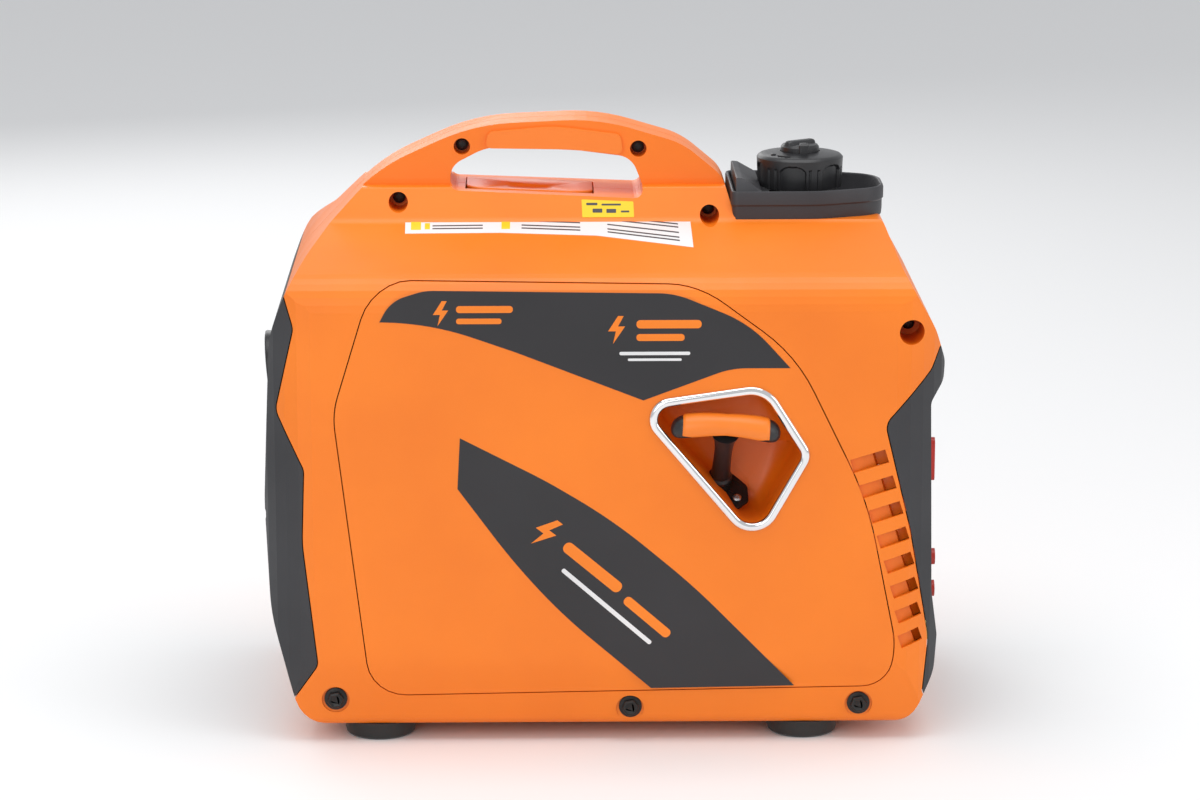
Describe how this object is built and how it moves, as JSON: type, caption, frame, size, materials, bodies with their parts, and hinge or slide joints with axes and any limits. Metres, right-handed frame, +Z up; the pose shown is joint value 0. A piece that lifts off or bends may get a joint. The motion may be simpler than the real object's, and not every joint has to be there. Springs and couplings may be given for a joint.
{
  "type": "portable generator",
  "caption": "Suitcase-style portable generator with an arched carry handle, recoil pull starter in a side pocket, capped fuel filler and an end panel of sockets.",
  "frame": {"origin": "on the ground under the middle of the overall size", "axes": "+X towards the control panel end, -X towards the exhaust end, -Y towards the recoil starter side, +Z up"},
  "size_m": [0.4916, 0.2918, 0.437],
  "materials": {
    "orange_plastic": "satin",
    "orange_lid": "satin",
    "dark_plastic": "matt",
    "black_plastic": "satin",
    "rubber": "matt",
    "chrome": "polished",
    "steel": "satin",
    "aluminium": "cast",
    "iron": "machined",
    "black_steel": "matt",
    "copper": "enamelled wire",
    "brass": "polished",
    "rope": "braided",
    "red_plastic": "gloss",
    "ceramic": "gloss"
  },
  "bodies": {
    "root": {"case_recoil_side": "orange_plastic", "case_service_side": "orange_plastic", "recoil_panel": "orange_plastic", "recoil_pocket": "orange_plastic", "recoil_trim": "chrome", "rope_guide": "dark_plastic", "rope_guide_screws": "steel", "handle_grips": "orange_lid", "rear_cover": "dark_plastic", "front_cover": "dark_plastic", "control_panel": "dark_plastic", "base_tray": "dark_plastic", "rubber_feet": "rubber", "case_screws": "black_steel", "base_bolts": "black_steel", "tank_tray": "black_plastic", "fuel_tank": "dark_plastic", "filler_neck": "steel", "muffler": "black_steel", "exhaust_outlet": "black_steel", "crankcase": "aluminium", "cylinder": "aluminium", "cylinder_head": "aluminium", "spark_plug": "ceramic", "plug_boot": "rubber", "carburettor": "aluminium", "air_box": "dark_plastic", "recoil_housing": "dark_plastic", "stator": "copper", "inverter": "aluminium", "engine_mounts": "rubber", "fuel_hose": "rubber", "ac_outlets": "black_plastic", "dc_outlet": "black_plastic", "usb_outlet": "black_plastic", "indicator_lights": "red_plastic", "parallel_jacks": "red_plastic", "ground_stud": "brass", "rope_run": "rope", "rope_tail": "rope"},
    "starter_pulley": {"starter_pulley": "dark_plastic", "rope_wrap": "rope"},
    "pull_handle": {"pull_handle": "dark_plastic", "pull_handle_pad": "orange_lid"},
    "crank": {"crankshaft": "steel", "flywheel": "iron"},
    "piston": {"piston": "aluminium"},
    "cap_gasket": {"cap_gasket": "rubber"},
    "fuel_cap": {"fuel_cap": "black_plastic"},
    "vent_knob": {"vent_knob": "black_plastic"},
    "plug_lid": {"plug_lid": "orange_lid"},
    "service_panel": {"service_panel": "orange_plastic"},
    "service_knob": {"service_knob": "dark_plastic"},
    "engine_switch": {"engine_switch": "red_plastic"},
    "eco_switch": {"eco_switch": "black_plastic"},
    "ac_breaker": {"ac_breaker": "black_plastic"},
    "dc_breaker": {"dc_breaker": "black_plastic"},
    "outlet_lid_left": {"outlet_lid_left": "black_plastic"},
    "outlet_lid_right": {"outlet_lid_right": "black_plastic"},
    "ground_nut": {"ground_nut": "brass"}
  },
  "joints": [
    {"name": "recoil_pull", "type": "slide", "parent": "root", "child": "pull_handle", "axis": [0.0429, -0.6142, 0.788], "range_m": [0, 0.7], "stiffness_N_per_m": 8, "springref_m": -0.3, "deforming": ["rope_tail"]},
    {"name": "pulley_spin", "type": "hinge", "parent": "root", "child": "starter_pulley", "pos_m": [-0.04, -0.0955, 0.132], "axis": [0, 1, 0], "range_deg": [0, 1145]},
    {"name": "crank_spin", "type": "hinge", "parent": "root", "child": "crank", "pos_m": [-0.04, 0, 0.132], "axis": [0, 1, 0], "continuous": true},
    {"name": "piston_stroke", "type": "slide", "parent": "root", "child": "piston", "axis": [0, 0, 1], "range_m": [-0.043, 0]},
    {"name": "cap_lift", "type": "slide", "parent": "root", "child": "cap_gasket", "axis": [0, 0, 1], "range_m": [0, 0.1]},
    {"name": "cap_turn", "type": "hinge", "parent": "cap_gasket", "child": "fuel_cap", "pos_m": [0.148, 0, 0.397], "axis": [0, 0, 1], "range_deg": [0, 90]},
    {"name": "vent_turn", "type": "hinge", "parent": "fuel_cap", "child": "vent_knob", "pos_m": [0.148, 0, 0.409], "axis": [0, 0, 1], "range_deg": [0, 90]},
    {"name": "plug_lid_hinge", "type": "hinge", "parent": "root", "child": "plug_lid", "pos_m": [-0.05, 0.025, 0.386], "axis": [-0.9991, 0, 0.0419], "range_deg": [0, 24]},
    {"name": "service_panel_pull", "type": "slide", "parent": "root", "child": "service_panel", "axis": [0, 1, 0], "range_m": [0, 0.06]},
    {"name": "service_knob_turn", "type": "hinge", "parent": "service_panel", "child": "service_knob", "pos_m": [0.01, 0.137, 0.06], "axis": [0, 1, 0], "range_deg": [0, 720]},
    {"name": "engine_switch_turn", "type": "hinge", "parent": "root", "child": "engine_switch", "pos_m": [0.235, -0.058, 0.192], "axis": [1, 0, 0], "range_deg": [0, 90]},
    {"name": "eco_rocker", "type": "hinge", "parent": "root", "child": "eco_switch", "pos_m": [0.235, 0.06, 0.196], "axis": [0, -1, 0], "range_deg": [0, 16]},
    {"name": "ac_breaker_press", "type": "slide", "parent": "root", "child": "ac_breaker", "axis": [-1, 0, 0], "range_m": [0, 0.003], "stiffness_N_per_m": 300, "springref_m": -0.003},
    {"name": "dc_breaker_press", "type": "slide", "parent": "root", "child": "dc_breaker", "axis": [-1, 0, 0], "range_m": [0, 0.003], "stiffness_N_per_m": 300, "springref_m": -0.003},
    {"name": "outlet_lid_left_open", "type": "hinge", "parent": "root", "child": "outlet_lid_left", "pos_m": [0.2405, -0.01, 0.12], "axis": [0, -1, 0], "range_deg": [0, 100], "stiffness_Nm_per_rad": 0.01, "springref_deg": -28.65},
    {"name": "outlet_lid_right_open", "type": "hinge", "parent": "root", "child": "outlet_lid_right", "pos_m": [0.2405, 0.054, 0.12], "axis": [0, -1, 0], "range_deg": [0, 100], "stiffness_Nm_per_rad": 0.01, "springref_deg": -28.65},
    {"name": "ground_nut_turn", "type": "hinge", "parent": "root", "child": "ground_nut", "pos_m": [0.24, -0.072, 0.07], "axis": [1, 0, 0], "range_deg": [0, 90]}
  ],
  "couplings": [
    {"joint": "pulley_spin", "follows": "recoil_pull", "rad_per_m": 28.49}
  ]
}
